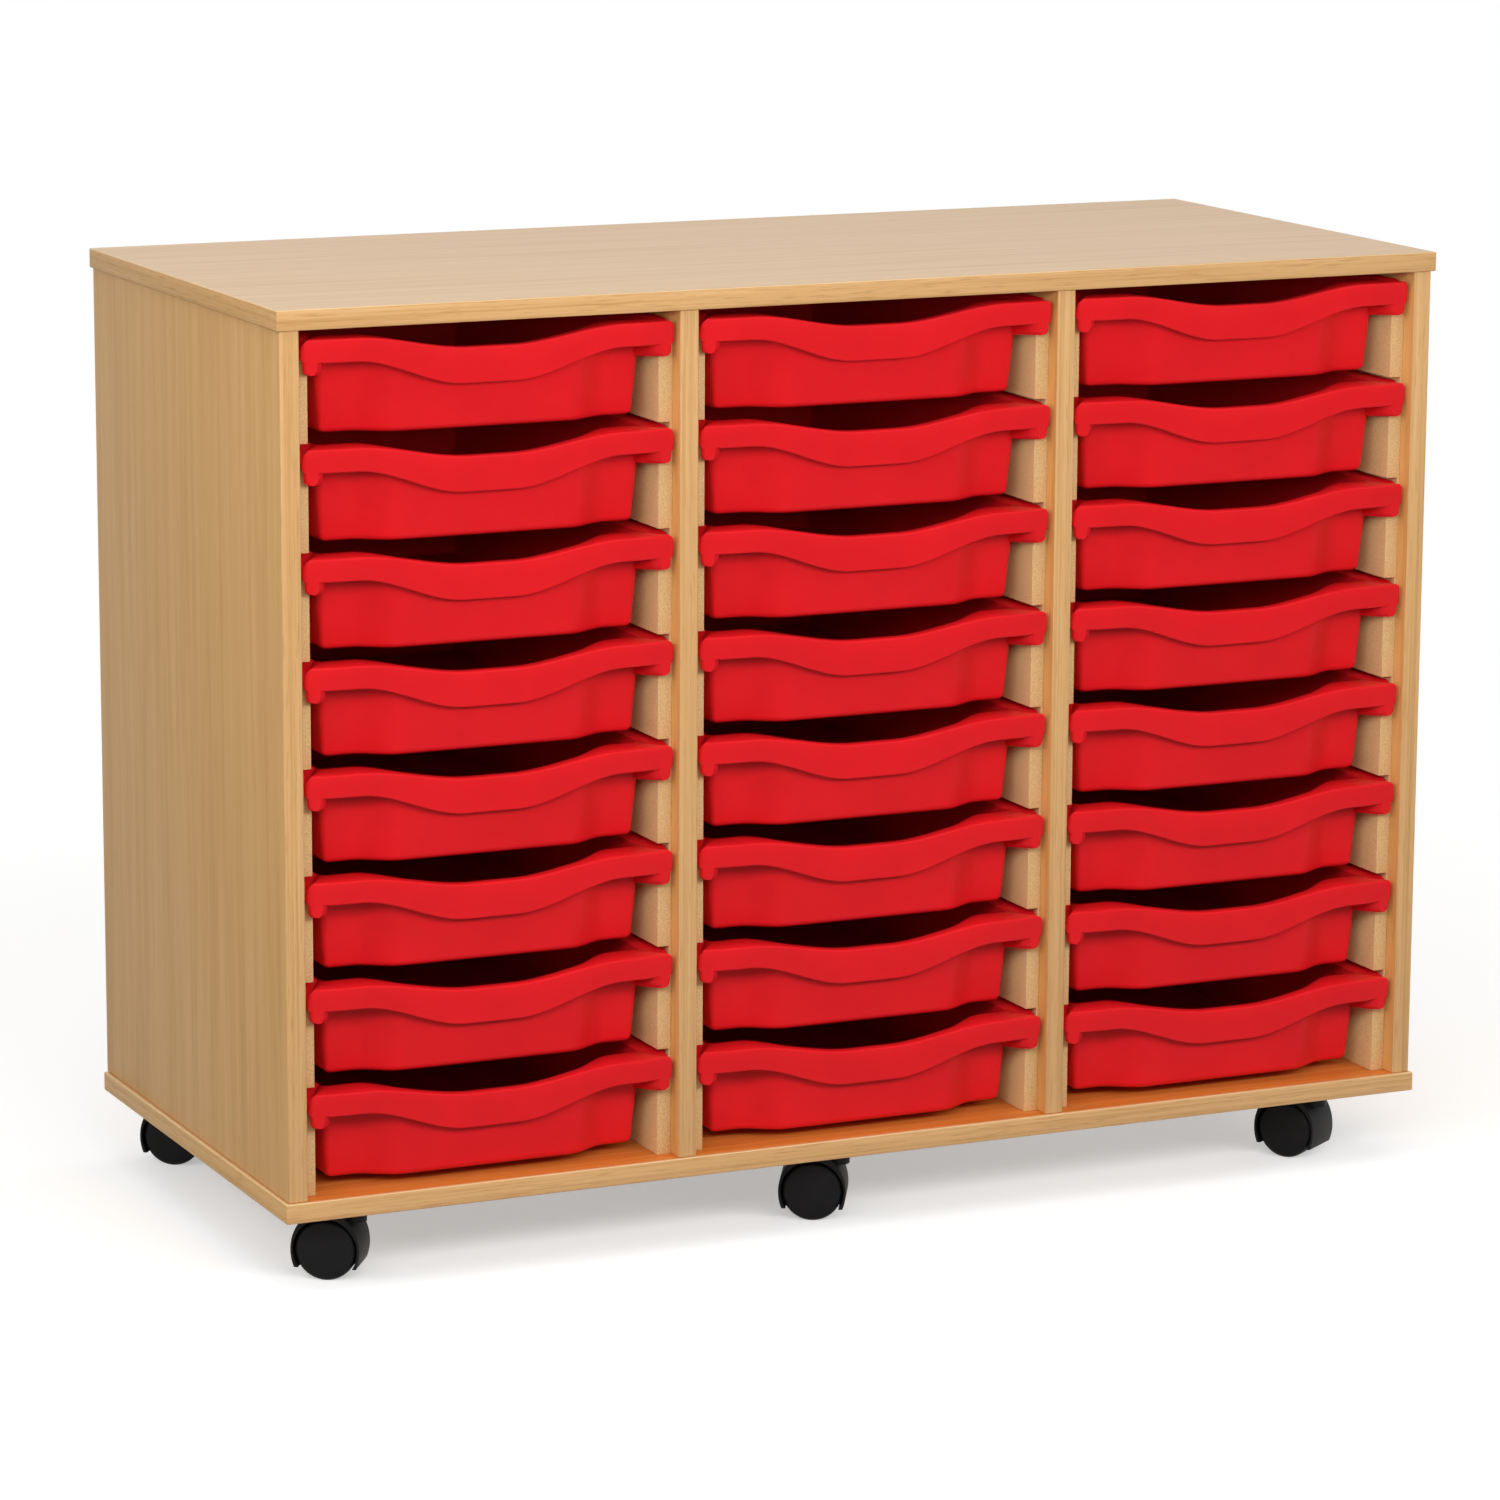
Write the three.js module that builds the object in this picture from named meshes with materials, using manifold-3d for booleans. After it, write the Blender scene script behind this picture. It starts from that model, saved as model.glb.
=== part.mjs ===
// Mobile classroom tray storage unit: a three-bay board carcass on six twin-wheel castors,
// with eight shallow moulded trays in each bay. Millimetres, +Z up, front facing -Y.
// The origin lies on the floor, under the middle of the unit.
import * as THREE from 'three';
import { mergeVertices } from 'three/addons/utils/BufferGeometryUtils.js';
import Module from 'manifold-3d';

const wasm = await Module();
wasm.setup();

// Bays and rows
const BAY_NAMES = ['left', 'middle', 'right'];
const ROWS = 8;

// Trays: rim
const TRAY_WIDTH = 312;
const TRAY_DEPTH = 427;
const TRAY_HEIGHT = 77;
const TRAY_WALL = 2.4;
const RIM_THICKNESS = 3;
const SKIRT_HEIGHT = 16;
const RIM_BACK_RADIUS = 18;
const RIM_BACK_WIDTH = 12;
const RIM_END_SETBACK = 10;
const RIM_END_RADIUS = 5;

// Trays: front lip, a wave that dips in the middle
const LIP_SETBACK = 0.6;
const LIP_HEIGHT = 18.8;
const LIP_TOP_DIP = 12;
const LIP_LOWER_DIP = 21.8;
const LIP_DIP_INNER = 18;
const LIP_DIP_OUTER = 112;
const LIP_LOWER_FLAT = 4;
const LIP_HOLLOW = 3;
const LIP_LEAN = 2.4;
const LIP_END_CURVE = 4.5;
const LIP_END_ROUND = 8;

// Trays: gussets behind the ends of the lip, which run back to the corners of the body
const APRON_WIDTH = 13;
const APRON_HEIGHT = 28;
const APRON_INSET = 1.2;
const APRON_LEAN = 0.1;
const APRON_DRAFT = 1;
const GUSSET_FALL = 2;

// Trays: body
const RIM_FLANGE = 18;
const BODY_DRAFT = 6.5;
const BODY_CORNER_RADIUS = 8;
const BODY_EDGE_RADIUS = 5;
const FRONT_WALL_SETBACK = 12;
const FRONT_WALL_BOW = 16;
const FRONT_BOW_INNER = 72;
const FRONT_BOW_OUTER = 108;

// Running clearances
const RIM_SIDE_GAP = 3;
const BODY_SIDE_GAP = 9;
const GUSSET_GAP = 1;
const RIM_SEAT_GAP = 0.3;
const TURN_GAP = 0.3;

// Carcass
const BOARD = 16;
const OVERHANG = 3;
const CARCASS_DEPTH = 450;
const BACK_THICKNESS = 6;
const BACK_RECESS = 3;
const ROW_PITCH = 85;
const LOWEST_TRAY_LIFT = 8;
const TOP_GAP = 8;

// Runner boards: grooves between blocks, one board on each side of each bay
const RUNNER_WEB = 2;
const RUNNER_SETBACK = 15;
const GROOVE_HEIGHT = 19;

// Castors
const CASTOR_HEIGHT = 61;
const CASTOR_INSET_X = 72;
const CASTOR_INSET_Y = 41;
const MIDDLE_CASTOR_X = -14;
const CASTOR_TRAIL = 20;
const WHEEL_RADIUS = 25;
const WHEEL_FACETS = 12;
const BORE_FACETS = 6;
const WHEEL_WIDTH = 15.5;
const WHEEL_SHOULDER = 4;
const WHEEL_SPACING = 8;
const AXLE_RADIUS = 3;
const HOOD_WALL = 1.8;
const HOOD_CLEARANCE = 1.2;
const HOOD_WEB = 6;
const HOOD_DROP = 14.5;
const BOSS_RADIUS = 10;
const BOSS_FLOOR = 2.2;
const KINGPIN_RADIUS = 4;
const KINGPIN_LENGTH = 10;
const PLATE_SIZE = 44;
const PLATE_CORNER = 6;
const PLATE_THICKNESS = 2.5;
const CASTOR_TURNS = {
  front_left: 34,
  front_middle: 29,
  front_right: 56,
  back_left: 36,
  back_middle: 36,
  back_right: 36,
};

// Derived sizes
const RUNNER_THICKNESS = RIM_FLANGE + RIM_SIDE_GAP - BODY_SIDE_GAP;
const BAY_WIDTH = TRAY_WIDTH + 2 * RIM_SIDE_GAP;
const BAY_PITCH = BAY_WIDTH + BOARD;
const INNER_WIDTH = BAY_NAMES.length * BAY_PITCH - BOARD;
const CARCASS_WIDTH = INNER_WIDTH + 2 * BOARD;
const TOP_WIDTH = CARCASS_WIDTH + 2 * OVERHANG;
const INNER_HEIGHT = LOWEST_TRAY_LIFT + TRAY_HEIGHT + (ROWS - 1) * ROW_PITCH + TOP_GAP;
const FRONT = -CARCASS_DEPTH / 2;
const BACK = CARCASS_DEPTH / 2;
const FLOOR_OF_BAYS = CASTOR_HEIGHT + BOARD;
const CEILING_OF_BAYS = FLOOR_OF_BAYS + INNER_HEIGHT;
const BACK_FACE = BACK - BACK_RECESS - BACK_THICKNESS;
const PANEL_FRONT = FRONT + OVERHANG;

// Finishes
const beechBoard = new THREE.MeshStandardMaterial({ color: 0xd6b283, roughness: 0.5, metalness: 0 });
const beechTop = new THREE.MeshStandardMaterial({ color: 0xd8c2a8, roughness: 0.45, metalness: 0 });
const fibreboard = new THREE.MeshStandardMaterial({ color: 0xcfa76d, roughness: 0.75, metalness: 0 });
const hardboard = new THREE.MeshStandardMaterial({ color: 0xb98f5c, roughness: 0.8, metalness: 0 });
const redPlastic = new THREE.MeshStandardMaterial({ color: 0xdd1c23, roughness: 0.4, metalness: 0 });
const blackNylon = new THREE.MeshStandardMaterial({ color: 0x181818, roughness: 0.5, metalness: 0 });
const platedSteel = new THREE.MeshStandardMaterial({ color: 0x8d8f92, roughness: 0.35, metalness: 1 });

const unit = new THREE.Group();

function addMesh(parent, name, geometry, material, x = 0, y = 0, z = 0) {
  const mesh = new THREE.Mesh(geometry, material);
  mesh.name = name;
  mesh.position.set(x, y, z);
  parent.add(mesh);
  return mesh;
}

// A board given by its two opposite corners.
function addBoard(name, material, low, high) {
  const size = high.map((value, axis) => value - low[axis]);
  const middle = high.map((value, axis) => (value + low[axis]) / 2);
  addMesh(unit, name, new THREE.BoxGeometry(...size), material, ...middle);
}

// Smooth step from 0 at `from` to 1 at `to`.
function ease(from, to, value) {
  const t = Math.min(1, Math.max(0, (value - from) / (to - from)));
  return t * t * (3 - 2 * t);
}

function toSolid(geometry) {
  const bare = geometry.clone();
  bare.deleteAttribute('normal');
  bare.deleteAttribute('uv');
  const welded = mergeVertices(bare, 1e-4);
  const vertProperties = new Float32Array(welded.attributes.position.array);
  const triVerts = new Uint32Array(welded.index.array);
  return new wasm.Manifold(new wasm.Mesh({ numProp: 3, vertProperties, triVerts }));
}

function fromSolid(solid) {
  const mesh = solid.getMesh();
  const geometry = new THREE.BufferGeometry();
  geometry.setAttribute('position', new THREE.BufferAttribute(mesh.vertProperties, 3));
  geometry.setIndex(new THREE.BufferAttribute(mesh.triVerts, 1));
  geometry.computeVertexNormals();
  return geometry;
}

// Loft through closed rings. Each ring is a list of points with a station number that rises
// from 0 to LOFT_TURN around the tray, so rings with different counts can be joined.
const LOFT_TURN = 6;

function mirrorRing(half) {
  const ring = half.map((p) => ({ ...p }));
  for (const p of half.slice().reverse()) {
    if (p.x > 0) ring.push({ x: -p.x, y: p.y, z: p.z, u: LOFT_TURN - p.u });
  }
  return ring;
}

function loftRings(rings) {
  const points = [];
  const triangles = [];
  const starts = rings.map((ring) => {
    const start = points.length;
    points.push(...ring);
    return start;
  });
  const stationOf = (ring, i) => (i < ring.length ? ring[i].u : LOFT_TURN + ring[0].u);
  for (let k = 0; k + 1 < rings.length; k += 1) {
    const [a, b] = [rings[k], rings[k + 1]];
    let i = 0;
    let j = 0;
    while (i < a.length || j < b.length) {
      const here = starts[k] + (i % a.length);
      const there = starts[k + 1] + (j % b.length);
      const takeFirst = j >= b.length || (i < a.length && stationOf(a, i + 1) <= stationOf(b, j + 1));
      if (takeFirst) {
        i += 1;
        triangles.push(here, starts[k] + (i % a.length), there);
      } else {
        j += 1;
        triangles.push(here, starts[k + 1] + (j % b.length), there);
      }
    }
  }
  const cap = (k, flip) => {
    const outline = rings[k].map((p) => new THREE.Vector2(p.x, p.y));
    for (const [p, q, r] of THREE.ShapeUtils.triangulateShape(outline, [])) {
      triangles.push(starts[k] + p, starts[k] + (flip ? r : q), starts[k] + (flip ? q : r));
    }
  };
  cap(0, true);
  cap(rings.length - 1, false);
  const geometry = new THREE.BufferGeometry();
  const flat = points.flatMap((p) => [p.x, p.y, p.z]);
  geometry.setAttribute('position', new THREE.Float32BufferAttribute(flat, 3));
  geometry.setIndex(triangles);
  geometry.computeVertexNormals();
  return geometry;
}

// Tray, with x = 0 in its middle, y = 0 at the front of the carcass and z = 0 under its floor.
const RIM_HALF = TRAY_WIDTH / 2;
const BODY_HALF = RIM_HALF - RIM_FLANGE;
const LIP_END = RIM_HALF - RIM_END_RADIUS;

// The wave of the lip: how far its upper and lower edges drop at a distance x from the middle.
function lipTopDrop(x) {
  return LIP_TOP_DIP * ease(LIP_DIP_OUTER, LIP_DIP_INNER, x);
}

function lipLowerDrop(x) {
  return LIP_HEIGHT + LIP_LOWER_DIP * ease(LIP_DIP_OUTER, LIP_DIP_INNER + LIP_LOWER_FLAT, x);
}

// Front of the lip in plan: hollow in the middle, with ends that turn back.
function lipFront(x) {
  const hollow = LIP_HOLLOW * ease(LIP_DIP_OUTER, LIP_DIP_INNER, x);
  const end = Math.max(0, (x - LIP_DIP_OUTER) / (RIM_HALF - LIP_DIP_OUTER));
  return LIP_SETBACK + hollow + LIP_END_CURVE * end * end;
}

// Front wall in plan: it bows forward in the middle.
function wallFront(x) {
  return FRONT_WALL_SETBACK + FRONT_WALL_BOW * ease(FRONT_BOW_INNER, FRONT_BOW_OUTER, x);
}

// Half outline of the rim, `inset` inside its outer face and `drop(x, place)` below its top, where
// place is 'lip' along the front, 'end' at the ends of the lip and 'side' along the side skirts.
function rimRing(inset, lean, drop) {
  const waveX = [0, 0.2, 0.4, 0.54, 0.68, 0.86].map((share) => share * LIP_END);
  const half = [...waveX, LIP_END].map((x) => {
    return { x, y: lipFront(x) + lean + inset, z: TRAY_HEIGHT - drop(x, 'lip'), u: x / RIM_HALF };
  });
  half[half.length - 1].x -= inset / 2;
  const end = RIM_HALF - inset;
  half.push({ x: end, y: RIM_END_SETBACK, z: TRAY_HEIGHT - drop(RIM_HALF, 'end'), u: 1 });
  half.push({ x: end, y: 2.4 * RIM_END_SETBACK, z: TRAY_HEIGHT - drop(RIM_HALF, 'side'), u: 1.05 });
  for (let i = 0; i <= 2; i += 1) {
    const turn = (i * Math.PI) / 4;
    const x = RIM_HALF - RIM_BACK_RADIUS + (RIM_BACK_RADIUS - inset) * Math.cos(turn);
    const y = TRAY_DEPTH - RIM_BACK_RADIUS + (RIM_BACK_RADIUS - inset) * Math.sin(turn);
    half.push({ x, y, z: TRAY_HEIGHT - drop(RIM_HALF, 'side'), u: 2 + i * 0.1 });
  }
  return mirrorRing(half);
}

// Half outline of the body, `inset` inside the outer face at the top of its wall.
function bodyRing(frontX, inset, heightOf) {
  const half = frontX.map((x) => ({ x, y: wallFront(x) + inset, z: heightOf(x), u: x / RIM_HALF }));
  const side = BODY_HALF - inset;
  const radius = Math.max(BODY_CORNER_RADIUS - inset, BODY_CORNER_RADIUS / 3);
  const frontY = wallFront(side) + inset;
  const backY = TRAY_DEPTH - RIM_BACK_WIDTH - inset;
  for (const [turn, u] of [[15, 0.86], [50, 0.92], [90, 0.96]]) {
    const angle = THREE.MathUtils.degToRad(turn);
    const x = side - radius + radius * Math.sin(angle);
    half.push({ x, y: frontY + radius * (1 - Math.cos(angle)), z: heightOf(x), u });
  }
  for (const [turn, u] of [[0, 2], [90, 2.2]]) {
    const angle = THREE.MathUtils.degToRad(turn);
    const x = side - radius + radius * Math.cos(angle);
    half.push({ x, y: backY - radius + radius * Math.sin(angle), z: heightOf(RIM_HALF), u });
  }
  return mirrorRing(half);
}

// Gusset at one end of the lip: its apron hangs below the lip, nearly flush with the lip's face, and
// it narrows as it runs back, past the runner boards, into the corner of the body.
const GUSSET_ROOT_Y = wallFront(BODY_HALF) + BODY_CORNER_RADIUS;

function gussetRing(side, dropOf, shrink) {
  const frontOf = (x) => lipFront(x) + 0.35 * TRAY_WALL + APRON_LEAN * dropOf(x, 0);
  const clearX = BODY_HALF + BODY_SIDE_GAP - GUSSET_GAP;
  const clearY = OVERHANG + RUNNER_SETBACK - GUSSET_GAP;
  const plan = [[clearX, clearY]];
  const rootDrop = dropOf(BODY_HALF, GUSSET_ROOT_Y) / TRAY_HEIGHT;
  const reach = BODY_CORNER_RADIUS - 0.75 * TRAY_WALL - (2 / 3) * BODY_DRAFT * rootDrop;
  for (const turn of [24, 74]) {
    const angle = THREE.MathUtils.degToRad(turn);
    const x = BODY_HALF - BODY_CORNER_RADIUS + reach * Math.cos(angle);
    plan.push([x, GUSSET_ROOT_Y - reach * Math.sin(angle)]);
  }
  for (const x of [RIM_HALF - APRON_WIDTH + shrink, LIP_END - shrink]) plan.push([x, frontOf(x)]);
  plan.push([RIM_HALF - APRON_INSET - shrink, RIM_END_SETBACK]);
  if (side < 0) plan.unshift(plan.pop());
  const ring = plan.map(([x, y]) => ({ x: side * x, y, z: TRAY_HEIGHT - dropOf(x, y) }));
  if (side < 0) ring.reverse();
  return ring.map((p, i) => ({ ...p, u: (i * LOFT_TURN) / ring.length }));
}

function gussetGeometry(side) {
  const endReach = RIM_END_RADIUS - APRON_INSET;
  const inRim = (x) => RIM_THICKNESS / 2 + (LIP_END_ROUND * Math.max(0, x - LIP_END)) / endReach;
  const fall = (y) => Math.max(0, y - RIM_END_SETBACK) / (GUSSET_ROOT_Y - RIM_END_SETBACK);
  return loftRings([
    gussetRing(side, (x, y) => APRON_HEIGHT + GUSSET_FALL * fall(y), APRON_DRAFT),
    gussetRing(side, inRim, 0),
  ]);
}

function trayGeometry() {
  const wavy = [0, 0.3, 0.55, 0.74, 0.93].map((share) => share * LIP_DIP_OUTER);
  const bow = FRONT_BOW_OUTER - FRONT_BOW_INNER;
  const plain = [-0.1, 0.3, 0.65].map((share) => FRONT_BOW_INNER + share * bow);
  const endDrop = (place) => (place === 'end' ? LIP_END_ROUND : 0);
  const top = (x, place) => lipTopDrop(x) + endDrop(place);
  const skirt = (x, place) => (place === 'lip' ? lipLowerDrop(x) : SKIRT_HEIGHT - RIM_SEAT_GAP);
  const underRim = (x) => TRAY_HEIGHT - RIM_THICKNESS - lipTopDrop(x);
  const rings = [
    bodyRing(plain, BODY_DRAFT + BODY_EDGE_RADIUS, () => 0),
    bodyRing(plain, BODY_DRAFT, () => BODY_EDGE_RADIUS),
    bodyRing(wavy, 0, underRim),
    rimRing(TRAY_WALL, 0, (x, place) => RIM_THICKNESS + top(x, place)),
    rimRing(TRAY_WALL, LIP_LEAN, skirt),
    rimRing(0, LIP_LEAN, skirt),
    rimRing(0, 0, top),
    bodyRing(wavy, TRAY_WALL, (x) => TRAY_HEIGHT - lipTopDrop(x)),
    bodyRing(plain, TRAY_WALL + BODY_DRAFT + BODY_EDGE_RADIUS / 2, () => TRAY_WALL),
  ];
  let tray = toSolid(loftRings(rings));
  for (const side of [-1, 1]) tray = tray.add(toSolid(gussetGeometry(side)));
  return fromSolid(tray);
}

// Runner board seen from the front, with x = 0 on the panel that carries it.
function runnerGeometry(depth) {
  const seats = [];
  for (let row = ROWS - 1; row >= 0; row -= 1) seats.push(rimTop(row) - SKIRT_HEIGHT);
  const outline = new THREE.Shape();
  outline.moveTo(0, FLOOR_OF_BAYS);
  outline.lineTo(RUNNER_THICKNESS, FLOOR_OF_BAYS);
  seats.forEach((seat, i) => {
    outline.lineTo(RUNNER_THICKNESS, seat);
    if (i === seats.length - 1) return;
    outline.lineTo(RUNNER_WEB, seat);
    outline.lineTo(RUNNER_WEB, seat + GROOVE_HEIGHT);
    outline.lineTo(RUNNER_THICKNESS, seat + GROOVE_HEIGHT);
  });
  outline.lineTo(0, seats[seats.length - 1]);
  outline.closePath();
  const geometry = new THREE.ExtrudeGeometry(outline, { depth, bevelEnabled: false });
  geometry.rotateX(Math.PI / 2);
  geometry.translate(0, depth, 0);
  return geometry;
}

// Height of the top of a tray's rim; row 0 is the uppermost.
function rimTop(row) {
  return FLOOR_OF_BAYS + LOWEST_TRAY_LIFT + TRAY_HEIGHT + (ROWS - 1 - row) * ROW_PITCH;
}

// Castor hood: fenders over both wheels, a web between them and a boss round the kingpin.
const BOSS_TOP = CASTOR_HEIGHT - PLATE_THICKNESS - TURN_GAP;
const HOOD_WIDTH = 2 * WHEEL_WIDTH + WHEEL_SPACING;

// Corner radius of a faceted bore whose flats stay clear of a shaft of the given radius.
function clearOf(radius, facets) {
  return (radius + TURN_GAP) / Math.cos(Math.PI / facets);
}

function cylinderAlongY(radius, length, x, y, z, facets) {
  const geometry = new THREE.CylinderGeometry(radius, radius, length, facets);
  geometry.rotateY(Math.PI / facets);
  geometry.translate(x, y, z);
  return toSolid(geometry);
}

function cylinderAlongZ(radius, low, high, facets) {
  const geometry = new THREE.CylinderGeometry(radius, radius, high - low, facets);
  geometry.rotateX(Math.PI / 2);
  geometry.translate(0, 0, (low + high) / 2);
  return toSolid(geometry);
}

function hoodGeometry() {
  const inner = WHEEL_RADIUS + HOOD_CLEARANCE;
  const outer = inner + HOOD_WALL;
  const rise = BOSS_TOP - WHEEL_RADIUS;
  const dip = Math.asin(HOOD_DROP / rise);
  const outline = new THREE.Shape();
  outline.absellipse(-CASTOR_TRAIL, WHEEL_RADIUS, outer, rise, -dip, Math.PI + dip, false);
  outline.closePath();
  const extrude = { depth: HOOD_WIDTH, bevelEnabled: false, curveSegments: 5 };
  const block = new THREE.ExtrudeGeometry(outline, extrude);
  block.rotateX(Math.PI / 2);
  block.translate(0, HOOD_WIDTH / 2, 0);
  const socketFloor = BOSS_TOP - KINGPIN_LENGTH;
  let hood = toSolid(block).add(cylinderAlongZ(BOSS_RADIUS, socketFloor - BOSS_FLOOR, BOSS_TOP, 8));
  const reach = HOOD_WIDTH;
  for (const side of [-1, 1]) {
    const y = side * (HOOD_WEB / 2 + reach / 2);
    hood = hood.subtract(cylinderAlongY(inner, reach, -CASTOR_TRAIL, y, WHEEL_RADIUS, WHEEL_FACETS));
  }
  const bore = clearOf(AXLE_RADIUS, BORE_FACETS);
  hood = hood.subtract(cylinderAlongY(bore, HOOD_WIDTH, -CASTOR_TRAIL, 0, WHEEL_RADIUS, BORE_FACETS));
  const socket = clearOf(KINGPIN_RADIUS, BORE_FACETS);
  hood = hood.subtract(cylinderAlongZ(socket, socketFloor, CASTOR_HEIGHT, BORE_FACETS));
  return fromSolid(hood);
}

// Two wheels pressed on one axle, turned about the axle, with a flat facet on the floor.
function wheelPairGeometry() {
  const tread = WHEEL_RADIUS / Math.cos(Math.PI / WHEEL_FACETS);
  const face = WHEEL_SPACING / 2 + WHEEL_WIDTH;
  const shoulder = face - WHEEL_SHOULDER;
  const half = [
    [AXLE_RADIUS, WHEEL_SPACING / 2],
    [tread, WHEEL_SPACING / 2],
    [tread, shoulder],
    [tread - WHEEL_SHOULDER, face],
    [0, face],
  ];
  const other = half.map(([r, y]) => [r, -y]).reverse();
  const profile = [...other, ...half].map(([r, y]) => new THREE.Vector2(r, y));
  return new THREE.LatheGeometry(profile, WHEEL_FACETS, Math.PI / WHEEL_FACETS);
}

// Mounting plate under the base panel, with its kingpin.
function plateGeometry() {
  const half = PLATE_SIZE / 2;
  const flat = half - PLATE_CORNER;
  const outline = new THREE.Shape();
  outline.moveTo(-flat, -half);
  outline.absarc(flat, -flat, PLATE_CORNER, -Math.PI / 2, 0, false);
  outline.absarc(flat, flat, PLATE_CORNER, 0, Math.PI / 2, false);
  outline.absarc(-flat, flat, PLATE_CORNER, Math.PI / 2, Math.PI, false);
  outline.absarc(-flat, -flat, PLATE_CORNER, Math.PI, 1.5 * Math.PI, false);
  const extrude = { depth: PLATE_THICKNESS, bevelEnabled: false, curveSegments: 1 };
  const plate = new THREE.ExtrudeGeometry(outline, extrude);
  plate.translate(0, 0, CASTOR_HEIGHT - PLATE_THICKNESS);
  const pinLow = BOSS_TOP - KINGPIN_LENGTH + TURN_GAP;
  const pin = cylinderAlongZ(KINGPIN_RADIUS, pinLow, CASTOR_HEIGHT - PLATE_THICKNESS / 2, BORE_FACETS);
  return fromSolid(toSolid(plate).add(pin));
}

// Carcass boards
const topHalf = TOP_WIDTH / 2;
const sideOut = CARCASS_WIDTH / 2;
const sideIn = INNER_WIDTH / 2;
const topHigh = CEILING_OF_BAYS + BOARD;
addBoard('top_panel', beechTop, [-topHalf, FRONT, CEILING_OF_BAYS], [topHalf, BACK, topHigh]);
addBoard('base_panel', beechBoard, [-topHalf, FRONT, CASTOR_HEIGHT], [topHalf, BACK, FLOOR_OF_BAYS]);
for (const [name, low] of [['left_side_panel', -sideOut], ['right_side_panel', sideIn]]) {
  addBoard(name, beechBoard, [low, PANEL_FRONT, FLOOR_OF_BAYS], [low + BOARD, BACK, CEILING_OF_BAYS]);
}
for (const [i, name] of ['left_divider', 'right_divider'].entries()) {
  const low = -sideIn + (i + 1) * BAY_PITCH - BOARD;
  addBoard(name, beechBoard, [low, PANEL_FRONT, FLOOR_OF_BAYS], [low + BOARD, BACK_FACE, CEILING_OF_BAYS]);
}
const backLow = [-sideIn, BACK_FACE, FLOOR_OF_BAYS];
addBoard('back_panel', hardboard, backLow, [sideIn, BACK_FACE + BACK_THICKNESS, CEILING_OF_BAYS]);

// Runner boards and trays, bay by bay
const runnerFront = PANEL_FRONT + RUNNER_SETBACK;
const runner = runnerGeometry(BACK_FACE - runnerFront);
const runnerTurned = runner.clone();
runnerTurned.rotateZ(Math.PI);
runnerTurned.translate(0, BACK_FACE - runnerFront, 0);
const tray = trayGeometry();
BAY_NAMES.forEach((bay, i) => {
  const low = -sideIn + i * BAY_PITCH;
  addMesh(unit, `runner_${bay}_bay_left`, runner.clone(), fibreboard, low, runnerFront);
  addMesh(unit, `runner_${bay}_bay_right`, runnerTurned.clone(), fibreboard, low + BAY_WIDTH, runnerFront);
  for (let row = 0; row < ROWS; row += 1) {
    const height = rimTop(row) - TRAY_HEIGHT;
    addMesh(unit, `tray_${bay}_${row + 1}`, tray.clone(), redPlastic, low + BAY_WIDTH / 2, FRONT, height);
  }
});

// Castors
const plate = plateGeometry();
const hood = hoodGeometry();
const wheels = wheelPairGeometry();
const castorX = { left: CASTOR_INSET_X - topHalf, middle: MIDDLE_CASTOR_X, right: topHalf - CASTOR_INSET_X };
const castorY = { front: FRONT + CASTOR_INSET_Y, back: BACK - CASTOR_INSET_Y };
for (const [place, turn] of Object.entries(CASTOR_TURNS)) {
  const [depthName, sideName] = place.split('_');
  const castor = new THREE.Group();
  castor.position.set(castorX[sideName], castorY[depthName], 0);
  addMesh(castor, `castor_${place}_plate`, plate.clone(), platedSteel);
  const swivel = new THREE.Group();
  swivel.rotation.z = -THREE.MathUtils.degToRad(turn);
  addMesh(swivel, `castor_${place}_hood`, hood.clone(), blackNylon);
  addMesh(swivel, `castor_${place}_wheels`, wheels.clone(), blackNylon, -CASTOR_TRAIL, 0, WHEEL_RADIUS);
  castor.add(swivel);
  unit.add(castor);
}

export default unit;
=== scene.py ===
"""Mobile classroom tray storage unit: three bays of eight red trays in a beech carcass on castors.

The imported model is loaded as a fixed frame, and every visible piece is modelled around it.
Sizes in the classes below are millimetres; meshes are metres.
"""

import logging
import math
from collections.abc import Callable, Iterator
from contextlib import contextmanager
from dataclasses import dataclass
from enum import Enum
from typing import ClassVar

import bmesh
import bpy
from mathutils import Matrix, Vector


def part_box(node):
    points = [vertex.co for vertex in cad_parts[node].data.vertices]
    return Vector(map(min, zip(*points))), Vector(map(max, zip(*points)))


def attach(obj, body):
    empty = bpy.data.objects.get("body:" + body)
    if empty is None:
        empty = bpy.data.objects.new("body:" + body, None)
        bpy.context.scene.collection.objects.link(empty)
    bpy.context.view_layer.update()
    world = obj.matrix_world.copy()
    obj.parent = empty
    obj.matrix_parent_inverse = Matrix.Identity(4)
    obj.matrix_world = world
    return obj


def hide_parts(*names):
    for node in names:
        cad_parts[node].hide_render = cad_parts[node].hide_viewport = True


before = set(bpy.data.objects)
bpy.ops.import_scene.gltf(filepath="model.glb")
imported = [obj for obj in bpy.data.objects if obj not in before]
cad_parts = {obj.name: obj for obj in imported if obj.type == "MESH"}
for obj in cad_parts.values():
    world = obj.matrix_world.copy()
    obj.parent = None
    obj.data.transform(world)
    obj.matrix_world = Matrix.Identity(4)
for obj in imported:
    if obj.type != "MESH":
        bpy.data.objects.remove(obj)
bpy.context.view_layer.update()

LOG = logging.getLogger("tray_unit")
MM = 0.001
QUARTER = math.pi / 2
DOUBLES = 1e-6  # metres between vertices that are merged
FLAT = 0.999  # a face whose normal has a larger part along an axis isn't rounded
WHITE = (1.0, 1.0, 1.0, 1.0)
ROWS = 8

Piece = bpy.types.Object
Material = bpy.types.Material
Socket = bpy.types.NodeSocket
Plan = tuple[float, float]
Point = tuple[float, float, float]
Ring = list[Point]
Drop = Callable[[float, float, float], float]


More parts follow.
